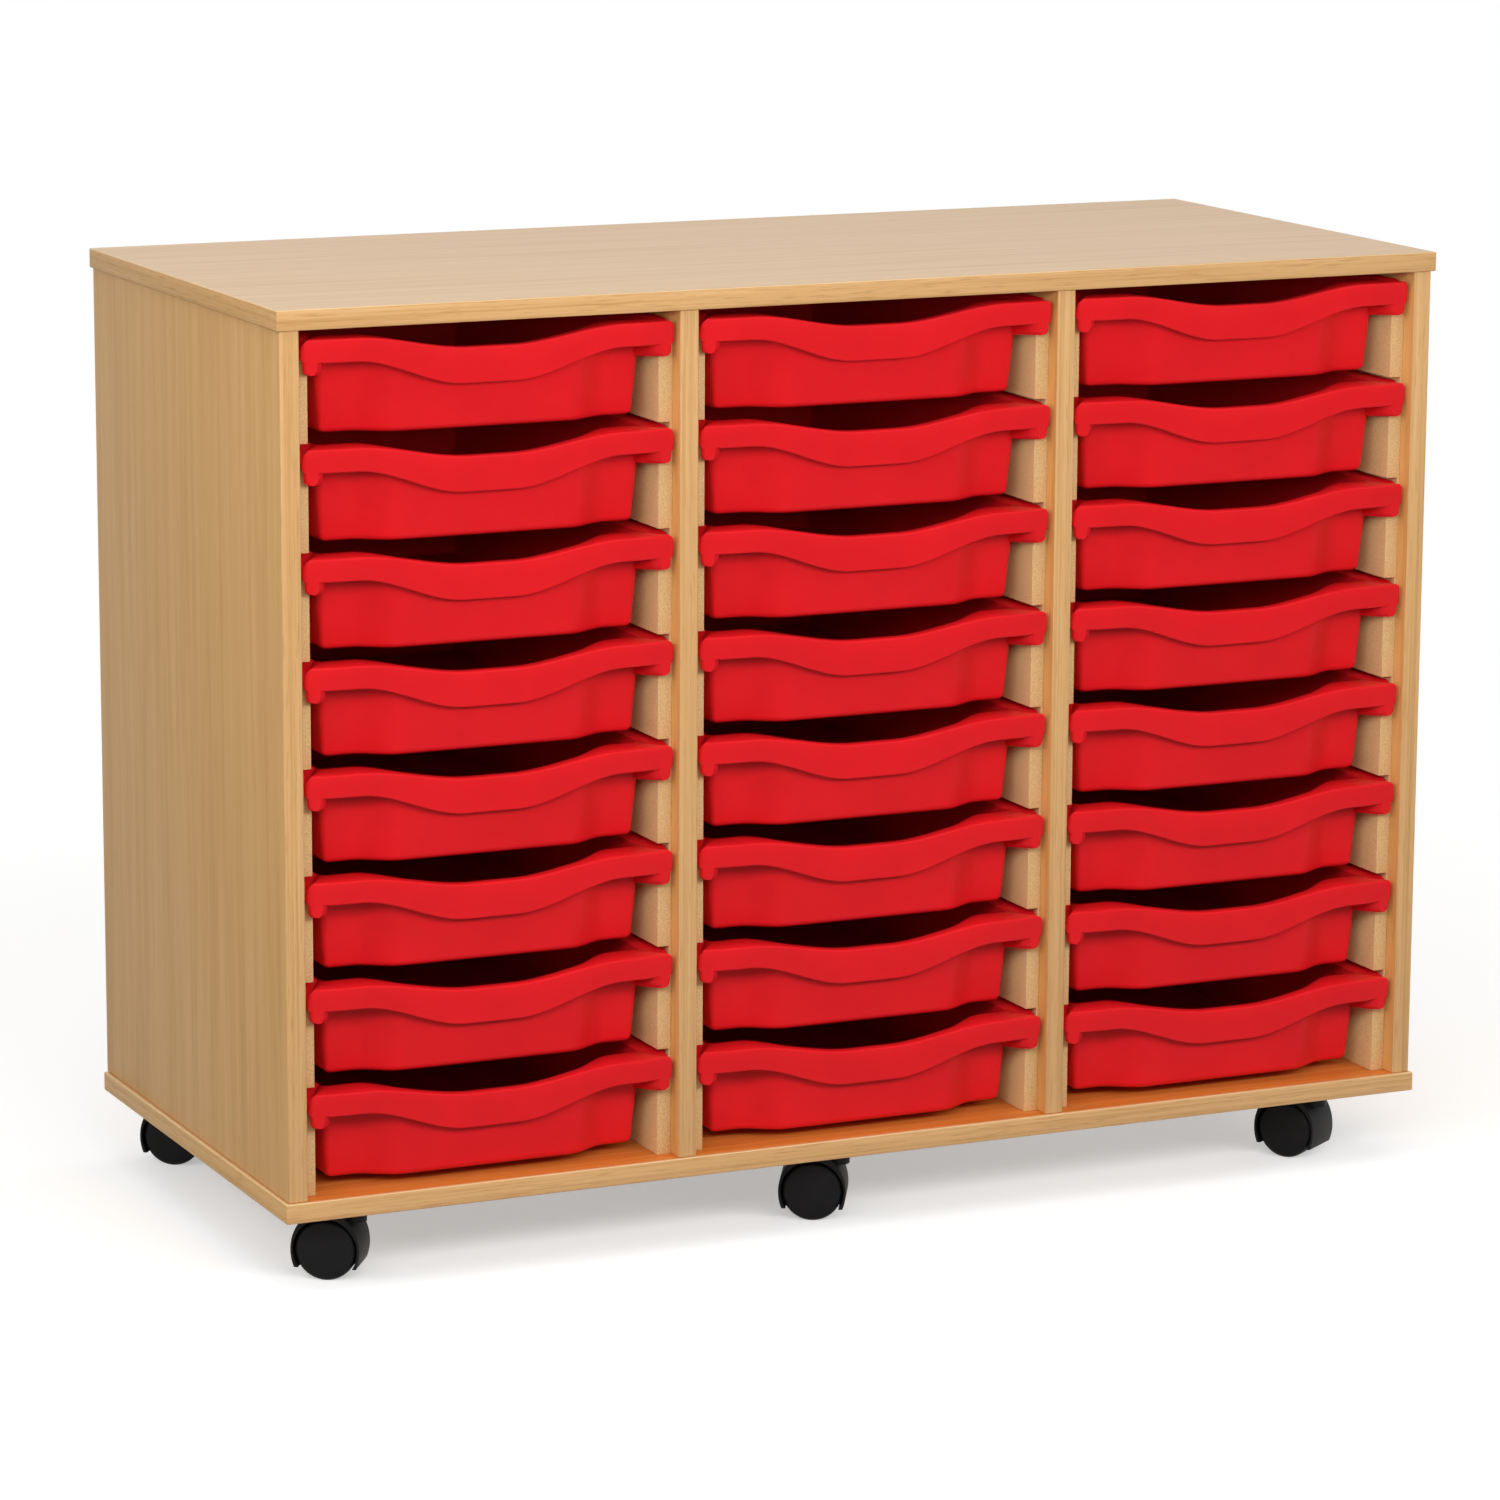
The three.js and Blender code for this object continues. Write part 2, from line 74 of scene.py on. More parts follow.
class Axis(Enum):
    """A direction of the unit; the value is its place in a vector."""

    X = 0
    Y = 1
    Z = 2


class Bay(Enum):
    """The three bays from left to right."""

    LEFT = "left"
    MIDDLE = "middle"
    RIGHT = "right"


class CastorPlace(Enum):
    """Where a castor stands, with its turn about the kingpin in degrees."""

    FRONT_LEFT = ("front_left", 34.0)
    FRONT_MIDDLE = ("front_middle", 29.0)
    FRONT_RIGHT = ("front_right", 56.0)
    BACK_LEFT = ("back_left", 36.0)
    BACK_MIDDLE = ("back_middle", 36.0)
    BACK_RIGHT = ("back_right", 36.0)


# Modelling helpers


def make_active(piece: Piece) -> None:
    """Selects one piece alone and makes it the active one."""
    bpy.ops.object.select_all(action="DESELECT")
    piece.select_set(True)
    bpy.context.view_layer.objects.active = piece


@contextmanager
def editing(piece: Piece) -> Iterator[None]:
    """Opens a piece in edit mode, with all of it selected, and closes it afterwards."""
    make_active(piece)
    bpy.ops.object.mode_set(mode="EDIT")
    bpy.ops.mesh.select_mode(type="VERT")
    bpy.ops.mesh.select_all(action="SELECT")
    yield
    bpy.ops.object.mode_set(mode="OBJECT")


def pick(piece: Piece, kind: str, test: Callable[[object], bool]) -> None:
    """Selects the faces, edges or vertices of an edited piece that pass a test.

    Args:
        piece: The object in edit mode.
        kind: "faces", "edges" or "verts".
        test: Says whether an element is taken.
    """
    bpy.ops.mesh.select_mode(type=kind[:-1].upper())
    bpy.ops.mesh.select_all(action="DESELECT")
    mesh = bmesh.from_edit_mesh(piece.data)
    mesh.normal_update()
    for element in getattr(mesh, kind):
        if test(element):
            element.select_set(True)
    mesh.select_flush_mode()
    bmesh.update_edit_mesh(piece.data)


def apply_modifier(piece: Piece, kind: str, **settings: object) -> None:
    """Adds a modifier with its settings and applies it at once."""
    make_active(piece)
    modifier = piece.modifiers.new(kind.lower(), kind)
    for name, value in settings.items():
        setattr(modifier, name, value)
    bpy.ops.object.modifier_apply(modifier=modifier.name)


def close_mesh(piece: Piece, angle: float = 35.0) -> None:
    """Merges doubles, points the faces outwards and smooths them up to an angle.

    Args:
        piece: The finished object.
        angle: Edges sharper than this, in degrees, stay crisp.
    """
    with editing(piece):
        bpy.ops.mesh.remove_doubles(threshold=DOUBLES)
        bpy.ops.mesh.normals_make_consistent(inside=False)
    make_active(piece)
    bpy.ops.object.shade_smooth_by_angle(angle=math.radians(angle))


def settled(name: str) -> Piece:
    """Names the object that was just added and puts its place into its mesh."""
    piece = bpy.context.object
    piece.name = name
    bpy.ops.object.transform_apply(location=True, rotation=True, scale=True)
    return piece


def add_block(name: str, low: Vector, high: Vector) -> Piece:
    """Adds a block between two corners, with its place in its mesh.

    Args:
        name: Name of the new object.
        low: Lowest corner in metres.
        high: Highest corner in metres.

    Returns:
        The new object.
    """
    bpy.ops.mesh.primitive_cube_add(size=1.0, location=(low + high) / 2)
    bpy.context.object.scale = high - low
    return settled(name)


def add_barrel(
    name: str, radius: float, length: float, centre: Point, axis: Axis, sides: int
) -> Piece:
    """Adds a cylinder along an axis, in millimetres, with its place in its mesh.

    Args:
        name: Name of the new object.
        radius: Radius of the cylinder.
        length: Length along the axis.
        centre: Middle of the cylinder.
        axis: Direction of the cylinder.
        sides: Number of flats round it.

    Returns:
        The new object.
    """
    turn = {Axis.X: (0, math.pi / 2, 0), Axis.Y: (math.pi / 2, 0, 0), Axis.Z: (0, 0, 0)}[axis]
    bpy.ops.mesh.primitive_cylinder_add(
        vertices=sides,
        radius=radius * MM,
        depth=length * MM,
        location=Vector(centre) * MM,
        rotation=turn,
    )
    return settled(name)


def add_profile(name: str, points: list[Point]) -> Piece:
    """Draws an open line by extruding one point from place to place.

    Args:
        name: Name of the new object.
        points: The line's points in millimetres.

    Returns:
        The new object, which holds edges only.
    """
    bpy.ops.mesh.primitive_plane_add(size=MM, location=Vector(points[0]) * MM)
    piece = settled(name)
    with editing(piece):
        bpy.ops.mesh.merge(type="CENTER")
        for start, end in zip(points, points[1:]):
            step = (Vector(end) - Vector(start)) * MM
            bpy.ops.mesh.extrude_region_move(TRANSFORM_OT_translate={"value": step})
    return piece


def loop_order(mesh: bmesh.types.BMesh) -> list[int]:
    """Numbers of a circle's vertices in their order round it."""
    order = [mesh.verts[0]]
    while len(order) < len(mesh.verts):
        nearby = [edge.other_vert(order[-1]) for edge in order[-1].link_edges]
        order.append(next(v for v in nearby if v not in order))
    return [vertex.index for vertex in order]


def extruded_from(mesh: bmesh.types.BMesh, place: int) -> int:
    """Number of the vertex that was just extruded from another one."""
    vertex = mesh.verts[place]
    nearby = [edge.other_vert(vertex) for edge in vertex.link_edges]
    return next(v.index for v in nearby if v.select)


def add_loft(name: str, rings: list[Ring]) -> Piece:
    """Models a closed body by extruding a loop from ring to ring, and fills its two ends.

    Args:
        name: Name of the new object.
        rings: Rings with the same number of points each, in millimetres.

    Returns:
        The new object.
    """
    bpy.ops.mesh.primitive_circle_add(vertices=len(rings[0]), radius=0.1)
    piece = settled(name)
    with editing(piece):
        loop: list[int] = []
        first: list[int] = []
        for ring in rings:
            if loop:
                bmesh.update_edit_mesh(piece.data)
                bpy.ops.mesh.extrude_region_move()
            mesh = bmesh.from_edit_mesh(piece.data)
            mesh.verts.ensure_lookup_table()
            loop = [extruded_from(mesh, i) for i in loop] if loop else loop_order(mesh)
            first = first or loop
            for place, point in zip(loop, ring, strict=True):
                mesh.verts[place].co = Vector(point) * MM
        bmesh.update_edit_mesh(piece.data)
        bpy.ops.mesh.edge_face_add()
        pick(piece, "verts", lambda vertex: vertex.index in first)
        bpy.ops.mesh.edge_face_add()
    return piece


def join_or_cut(piece: Piece, tool: Piece, operation: str) -> None:
    """Joins a tool body to a piece or cuts it away, then removes the tool body."""
    apply_modifier(piece, "BOOLEAN", object=tool, operation=operation, solver="EXACT")
    bpy.data.objects.remove(tool)


def copy_to(piece: Piece, name: str, place: Matrix) -> Piece:
    """Copies a piece with a mesh of its own and moves that mesh.

    Args:
        piece: The modelled original.
        name: Name of the copy.
        place: Where the copy goes, relative to the original.

    Returns:
        The copy, at the origin, with its place in its mesh.
    """
    twin = piece.copy()
    twin.data = piece.data.copy()
    twin.name = name
    twin.data.name = name
    twin.data.transform(place)
    bpy.context.scene.collection.objects.link(twin)
    return twin


def dress(piece: Piece, *finishes: Material) -> None:
    """Gives a piece its materials, in slot order."""
    piece.data.materials.clear()
    for finish in finishes:
        piece.data.materials.append(finish)


def seat(piece: Piece, body: str, node: str) -> None:
    """Makes a piece ride on a body in place of a node and reports it.

    Args:
        piece: The finished object.
        body: The body that carries it.
        node: The node that it stands for.
    """
    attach(piece, body)
    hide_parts(node)
    LOG.info("%s: %d faces on %s", piece.name, len(piece.data.polygons), body)


# Finishes


def linear(colour: str) -> tuple[float, float, float, float]:
    """Turns an sRGB hex colour into linear red, green, blue and alpha.

    Args:
        colour: Six hex digits after a hash sign.

    Returns:
        The linear colour with full alpha.
    """
    parts = [int(colour[i : i + 2], 16) / 255 for i in (1, 3, 5)]
    red, green, blue = (
        p / 12.92 if p <= 0.04045 else ((p + 0.055) / 1.055) ** 2.4 for p in parts
    )
    return red, green, blue, 1.0


class Shading:
    """Node tree of a material or of the world; each method returns what its node puts out."""

    def __init__(self, owner: Material | bpy.types.World) -> None:
        """Starts with an empty tree.

        Args:
            owner: The material or the world that is shaded.
        """
        owner.use_nodes = True
        self.owner = owner
        self.tree = owner.node_tree
        self.tree.nodes.clear()

    def add(
        self,
        kind: str,
        settings: dict[str, object] | None = None,
        links: dict[str | int, Socket] | None = None,
        output: str | int = 0,
    ) -> Socket:
        """Adds a node with its settings and links.

        Args:
            kind: The node's type name after "ShaderNode".
            settings: Values by the name of a property or an input.
            links: Output sockets by the name or number of the input they feed.
            output: Name or number of the output to hand back.

        Returns:
            That output.
        """
        node = self.tree.nodes.new("ShaderNode" + kind)
        for name, value in (settings or {}).items():
            if name in node.inputs:
                node.inputs[name].default_value = value
            else:
                setattr(node, name, value)
        for name, socket in (links or {}).items():
            self.tree.links.new(socket, node.inputs[name])
        return node.outputs[output]

    def noise(
        self, cell: float | Point, detail: float, roughness: float = 0.5, distortion: float = 0.0
    ) -> Socket:
        """Cloudy grey values, fixed to the piece.

        Args:
            cell: Size of one cloud in millimetres, or its size along each axis.
            detail: Number of finer layers.
            roughness: Strength of the finer layers.
            distortion: How far the clouds are warped.

        Returns:
            The grey value.
        """
        sizes = (cell,) * 3 if isinstance(cell, float) else cell
        place = self.add("TexCoord", output="Object")
        cells = self.add("Mapping", {"Scale": [1 / (s * MM) for s in sizes]}, {"Vector": place})
        layers = {"Detail": detail, "Roughness": roughness, "Distortion": distortion}
        return self.add("TexNoise", {"Scale": 1.0, **layers}, {"Vector": cells})

    def ramp(self, value: Socket, stops: dict[float, str]) -> Socket:
        """Turns a grey value into colours, given as hex by their place from 0 to 1."""
        colour = self.add("ValToRGB", links={"Fac": value})
        elements = colour.node.color_ramp.elements
        for place, tone in stops.items():
            element = elements[0] if place == min(stops) else elements.new(place)
            element.position = place
            element.color = linear(tone)
        elements.remove(elements[-1])
        return colour

    def spread(
        self, value: Socket, low: float, high: float, start: float = 0.0, end: float = 1.0
    ) -> Socket:
        """Maps a value between start and end to one between low and high."""
        ends = {"From Min": start, "From Max": end, "To Min": low, "To Max": high}
        return self.add("MapRange", ends, {"Value": value})

    def relief(self, height: Socket, strength: float, depth: float) -> Socket:
        """Bends the normals by a height of some millimetres."""
        return self.add("Bump", {"Strength": strength, "Distance": depth * MM}, {"Height": height})

    def shown(self) -> Socket:
        """1 for rays that show the background to the eye, in a mirror or through glass."""
        names = ("Is Camera Ray", "Is Glossy Ray", "Is Transmission Ray")
        eye, mirror, glass = (self.add("LightPath", output=name) for name in names)
        direct = self.add("Math", {"operation": "MAXIMUM"}, {0: eye, 1: mirror})
        return self.add("Math", {"operation": "MAXIMUM"}, {0: direct, 1: glass})

    def end(self, shader: Socket) -> Material | bpy.types.World:
        """Links a shader to the output and hands back what it shades."""
        output = self.tree.nodes.new("ShaderNodeOutput" + type(self.owner).__name__)
        self.tree.links.new(shader, output.inputs["Surface"])
        return self.owner

    def surface(self, settings: dict[str, object], links: dict[str | int, Socket]) -> Material:
        """Ends a material with a principled surface."""
        return self.end(self.add("BsdfPrincipled", settings, links))


def new_finish(name: str) -> Shading:
    """Starts a material."""
    return Shading(bpy.data.materials.new(name))


@dataclass(frozen=True)
class BeechDecor:
    """Melamine-faced chipboard with a beech decor.

    A printed paper under clear melamine resin: calm straight grain in soft streaks, short darker
    ray flecks along it, and an even satin surface that pales at a low angle.
    """

    name: str
    grain: Axis
    light: str = "#dcb07a"
    middle: str = "#d2a46d"
    dark: str = "#bf8f58"
    fleck: str = "#ab7a46"
    fleck_share: float = 0.35
    streak_width: float = 7.0
    streak_length: float = 320.0
    fleck_width: float = 1.6
    fleck_length: float = 26.0
    roughness: float = 0.4
    sheen_level: float = 0.5

    def cell(self, width: float, length: float) -> Point:
        """Size of one cell of the grain along each axis, from its width and length."""
        x, y, z = (length if axis is self.grain else width for axis in Axis)
        return x, y, z

    def material(self) -> Material:
        """Builds the decor's material."""
        shading = new_finish(self.name)
        streaks = shading.noise(self.cell(self.streak_width, self.streak_length), 5.0, 0.62, 0.25)
        tone = shading.ramp(streaks, {0.28: self.dark, 0.5: self.middle, 0.7: self.light})
        dashes = shading.noise(self.cell(self.fleck_width, self.fleck_length), 2.0)
        share = shading.spread(dashes, 0.0, self.fleck_share, start=0.56, end=0.74)
        fleck = {"Color2": linear(self.fleck)}
        colour = shading.add("MixRGB", fleck, {"Fac": share, "Color1": tone})
        gloss = shading.spread(dashes, self.roughness - 0.04, self.roughness + 0.06)
        pores = shading.relief(dashes, strength=0.12, depth=0.05)
        return shading.surface(
            {"IOR": 1.5, "Specular IOR Level": self.sheen_level},
            {"Base Color": colour, "Roughness": gloss, "Normal": pores},
        )


@dataclass(frozen=True)
class PressedFibre:
    """Raw or lacquered wood fibre, pressed into board: matt, with fine light and dark specks."""

    name: str
    light: str
    middle: str
    dark: str
    speck: float
    roughness: float

    def material(self) -> Material:
        """Builds the board's material."""
        shading = new_finish(self.name)
        specks = shading.noise(self.speck, 4.0, 0.7)
        colour = shading.ramp(specks, {0.3: self.dark, 0.5: self.middle, 0.7: self.light})
        fuzz = shading.relief(specks, strength=0.25, depth=0.15)
        return shading.surface(
            {"Roughness": self.roughness, "IOR": 1.45}, {"Base Color": colour, "Normal": fuzz}
        )


@dataclass(frozen=True)
class MouldedPlastic:
    """Injection-moulded plastic: an even colour with faint flow clouding and a fine satin texture."""

    name: str
    colour: str
    clouded: str
    roughness: float
    spread: float = 0.05
    grit: float = 1.2
    cloud: float = 45.0
    relief: float = 0.02
    ior: float = 1.5
    sheen_level: float = 0.5

    def material(self) -> Material:
        """Builds the plastic's material."""
        shading = new_finish(self.name)
        clouds = shading.noise(self.cloud, 2.0)
        colour = shading.ramp(clouds, {0.35: self.clouded, 0.65: self.colour})
        texture = shading.noise(self.grit, 3.0)
        gloss = shading.spread(texture, self.roughness - self.spread, self.roughness + self.spread)
        grain = shading.relief(texture, strength=0.2, depth=self.relief)
        return shading.surface(
            {"IOR": self.ior, "Specular IOR Level": self.sheen_level},
            {"Base Color": colour, "Roughness": gloss, "Normal": grain},
        )


@dataclass(frozen=True)
class PlatedSteel:
    """Pressed steel with bright zinc plating: a metal sheen broken by faint crystal patches."""

    name: str = "zinc_plated_steel"
    bright: str = "#b9bcc0"
    dull: str = "#9a9da1"
    patch: float = 4.0

    def material(self) -> Material:
        """Builds the plating's material."""
        shading = new_finish(self.name)
        patches = shading.noise(self.patch, 3.0)
        colour = shading.ramp(patches, {0.35: self.dull, 0.65: self.bright})
        gloss = shading.spread(patches, 0.25, 0.42)
        return shading.surface({"Metallic": 1.0}, {"Base Color": colour, "Roughness": gloss})


# Sub-assemblies


@dataclass
class Board:
    """One edged board of the carcass, with rounded edges and grain by face.

    inward says which of the wide sides, by the sign of their normal, look into a bay and get painted
    bounce light, and strip is how wide a margin of them lies outside that painted light.
    """

    node: str
    slot: str
    inward: tuple[int, ...] = ()
    strip: float = 0.0
    edge_radius: float = 1.1
    edge_steps: int = 3
    arris_rise: float = 0.3

    def build(self) -> Piece:
        """Models the board where its node is."""
        low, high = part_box(self.node)
        piece = add_block(self.node + "_board", low, high)
        with editing(piece):
            width, steps = self.edge_radius * MM, self.edge_steps
            bpy.ops.mesh.bevel(offset=width, segments=steps, affect="EDGES")
            if self.strip:
                pick(piece, "faces", lambda face: abs(face.normal.z) > FLAT)
                bpy.ops.mesh.inset(thickness=self.strip * MM)
        close_mesh(piece)
        return piece

    def dress(
        self,
        piece: Piece,
        face: Material,
        inside: Material,
        arris: Material,
        bands: dict[Axis, Material],
    ) -> None:
        """Puts the decor on the wide sides, painted bounce light on those in a bay, and bands along
        the narrow sides and the roundings, where those that face up get a painted highlight.

        Args:
            piece: The board.
            face: Decor of the wide sides.
            inside: Decor of the wide sides that look into a bay, lighter and more orange as painted
                bounce light from the red trays.
            arris: Finish of the rounded edges that face up, paler as a painted highlight.
            bands: Edge band by the direction of its grain.
        """
        low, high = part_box(self.node)
        thin = min(range(3), key=lambda axis: high[axis] - low[axis])
        middle = (low + high) / 2
        finishes = (face, inside, arris, *bands.values())
        dress(piece, *finishes)
        for polygon in piece.data.polygons:
            out = max(range(3), key=lambda axis: abs(polygon.normal[axis]))
            away = polygon.center - middle
            away[thin] = 0.0
            rounded = abs(polygon.normal[out]) < FLAT
            finish = face
            # Rounded edges that face up get the paler band: a painted highlight where the light
            # catches them.
            if rounded and polygon.normal.z > self.arris_rise:
                finish = arris
            elif rounded or out != thin:
                along = min(range(3), key=lambda axis: abs(polygon.normal[axis]) + (axis == thin))
                finish = bands[Axis(along)]
            # Sides that look into a bay, short of the strip along the edges, get the painted bounce
            # light.
            elif round(polygon.normal[out]) in self.inward and away.length < MM:
                finish = inside
            polygon.material_index = finishes.index(finish)
        seat(piece, "carcass", self.node)


@dataclass
class Carcass:
    """Top, base, sides, dividers and back of the unit."""

    # One beech melamine in two copies by facing: the level boards' copy is paler and glossier, a
    # painted sheen from above, and the uprights' copy is more saturated, nearly matt and lifted in
    # tone, painted light for their sides.
    face_x: BeechDecor = BeechDecor(
        "beech_melamine_top_painted_pale_sheen", Axis.X, "#dcb98e", "#d7b286", "#cda575", "#b98b59",
        fleck_share=0.2, streak_width=9.0,
    )
    face_z: BeechDecor = BeechDecor(
        "beech_melamine_upright_painted_light", Axis.Z, "#dcb078", "#d6a86d", "#cc9d62", "#bb8c55",
        fleck_share=0.22, streak_width=12.0, sheen_level=0.04,
    )
    # The base's top inside the bays gets a strongly orange copy of the decor: painted red bounce light
    # from the trays.
    inside_x: BeechDecor = BeechDecor(
        "beech_melamine_bay_floor_painted_red_bounce", Axis.X, "#e79348", "#e0853a", "#d3762e", "#c06a2a",
        fleck_share=0.2, sheen_level=0.1,
    )
    # The uprights' sides inside a bay get a lighter, more orange copy of the decor: painted bounce
    # light from the red trays.
    inside_z: BeechDecor = BeechDecor(
        "beech_melamine_bay_wall_painted_bounce", Axis.Z, "#ecbb74", "#e6b068", "#d69d55",
        streak_width=12.0, sheen_level=0.1,
    )
    edge_x: BeechDecor = BeechDecor(
        "beech_edge_band_lengthwise", Axis.X, streak_width=3.0, fleck_share=0.5, sheen_level=0.3
    )
    # Crosswise band on the boards' left and right edges: its own lighter, warmer tone and little
    # sheen, painted light matched to how the light falls on those sides.
    edge_y: BeechDecor = BeechDecor(
        "beech_edge_band_crosswise_painted_light", Axis.Y, "#dfb47c", "#d8aa70", "#c69a60",
        streak_width=3.0, fleck_share=0.5, sheen_level=0.05,
    )
    edge_z: BeechDecor = BeechDecor(
        "beech_edge_band_upright", Axis.Z, streak_width=2.6, fleck_share=0.4, sheen_level=0.3
    )
    # Paler edge band for the rounded edges that face up: a painted highlight.
    arris: BeechDecor = BeechDecor(
        "beech_edge_band_painted_highlight", Axis.X, "#e9cb9c", "#e3c08c", "#d8b079", fleck_share=0.1
    )
    back: PressedFibre = PressedFibre(
        "hardboard_back", "#c49c6b", "#b98f5c", "#a67c4b", speck=1.6, roughness=0.75
    )
    # Width of the margin round the sides in a bay that keeps the plain decor; the painted bounce light
    # lies within it.
    overhang_strip: float = 2.0
    inward: ClassVar[dict[str, tuple[int, ...]]] = {
        "top_panel": (-1,),
        "base_panel": (1,),
        "left_side_panel": (1,),
        "right_side_panel": (-1,),
        "left_divider": (-1, 1),
        "right_divider": (-1, 1),
    }

    def build(self) -> None:
        """Models and dresses all boards."""
        edges = {Axis.X: self.edge_x, Axis.Y: self.edge_y, Axis.Z: self.edge_z}
        bands = {axis: decor.material() for axis, decor in edges.items()}
        # Each pair holds the plain decor and its copy with painted bounce light for the sides in a
        # bay.
        level = [decor.material() for decor in (self.face_x, self.inside_x)]
        upright = [decor.material() for decor in (self.face_z, self.inside_z)]
        arris = self.arris.material()
        for node, inward in self.inward.items():
            flat = node in ("top_panel", "base_panel")
            slot = "beech_top" if node == "top_panel" else "beech_board"
            board = Board(node, slot, inward, strip=self.overhang_strip if flat else 0.0)
            board.dress(board.build(), *(level if flat else upright), arris, bands)
        panel = Board("back_panel", "hardboard", edge_radius=0.5, edge_steps=2).build()
        dress(panel, self.back.material())
        seat(panel, "carcass", "back_panel")


@dataclass
class RunnerSet:
    """Six grooved runner boards, which carry the trays by their rims."""

    edge_break: float = 0.5
    side_facing: float = 0.9
    cut_edge: PressedFibre = PressedFibre(
        "fibreboard_cut_edge", "#e6c592", "#d9b37d", "#c29a64", speck=1.4, roughness=0.7
    )
    # Side faces of the runners: sanded fibreboard, painted much lighter and yellower than the cut
    # edges to cancel the shade and red bounce light beside the trays.
    sanded_face: PressedFibre = PressedFibre(
        "fibreboard_sanded_face_painted_light", "#eed9a0", "#e6ce92", "#d3b77a", speck=1.4, roughness=0.6
    )

    def build(self) -> None:
        """Copies each routed board from the frame, breaks its edges and dresses it."""
        finishes = self.cut_edge.material(), self.sanded_face.material()
        for bay in Bay:
            for side in ("left", "right"):
                node = f"runner_{bay.value}_bay_{side}"
                piece = copy_to(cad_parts[node], node + "_board", Matrix.Identity(4))
                piece.parent = None
                for key in list(piece.keys()):
                    del piece[key]
                with editing(piece):
                    bpy.ops.mesh.remove_doubles(threshold=DOUBLES)
                    bpy.ops.mesh.dissolve_limited(angle_limit=math.radians(1))
                    bpy.ops.mesh.select_all(action="SELECT")
                    bpy.ops.mesh.bevel(offset=self.edge_break * MM, segments=2, affect="EDGES")
                close_mesh(piece)
                dress(piece, *finishes)
                for polygon in piece.data.polygons:
                    polygon.material_index = int(abs(polygon.normal.x) > self.side_facing)
                seat(piece, "carcass", node)


def ease(start: float, end: float, value: float) -> float:
    """Smooth step from 0 at start to 1 at end.

    Args:
        start: Where the step begins.
        end: Where it ends; it may lie below start.
        value: The place on the way.

    Returns:
        The height of the step.
    """
    share = min(1.0, max(0.0, (value - start) / (end - start)))
    return share * share * (3 - 2 * share)


def blend(first: float, second: float, share: float) -> float:
    """Value between two values."""
    return first + (second - first) * share


def quarter_turns(steps: int) -> list[float]:
    """Angles from 0 to a quarter turn."""
    return [i / steps * QUARTER for i in range(steps + 1)]


def rounding(radius: float, steps: int) -> list[Plan]:
    """How far the points of a rounded edge lie inside its one face and its other face."""
    return [
        (radius * (1 - math.sin(turn)), radius * (1 - math.cos(turn)))
        for turn in quarter_turns(steps)
    ]


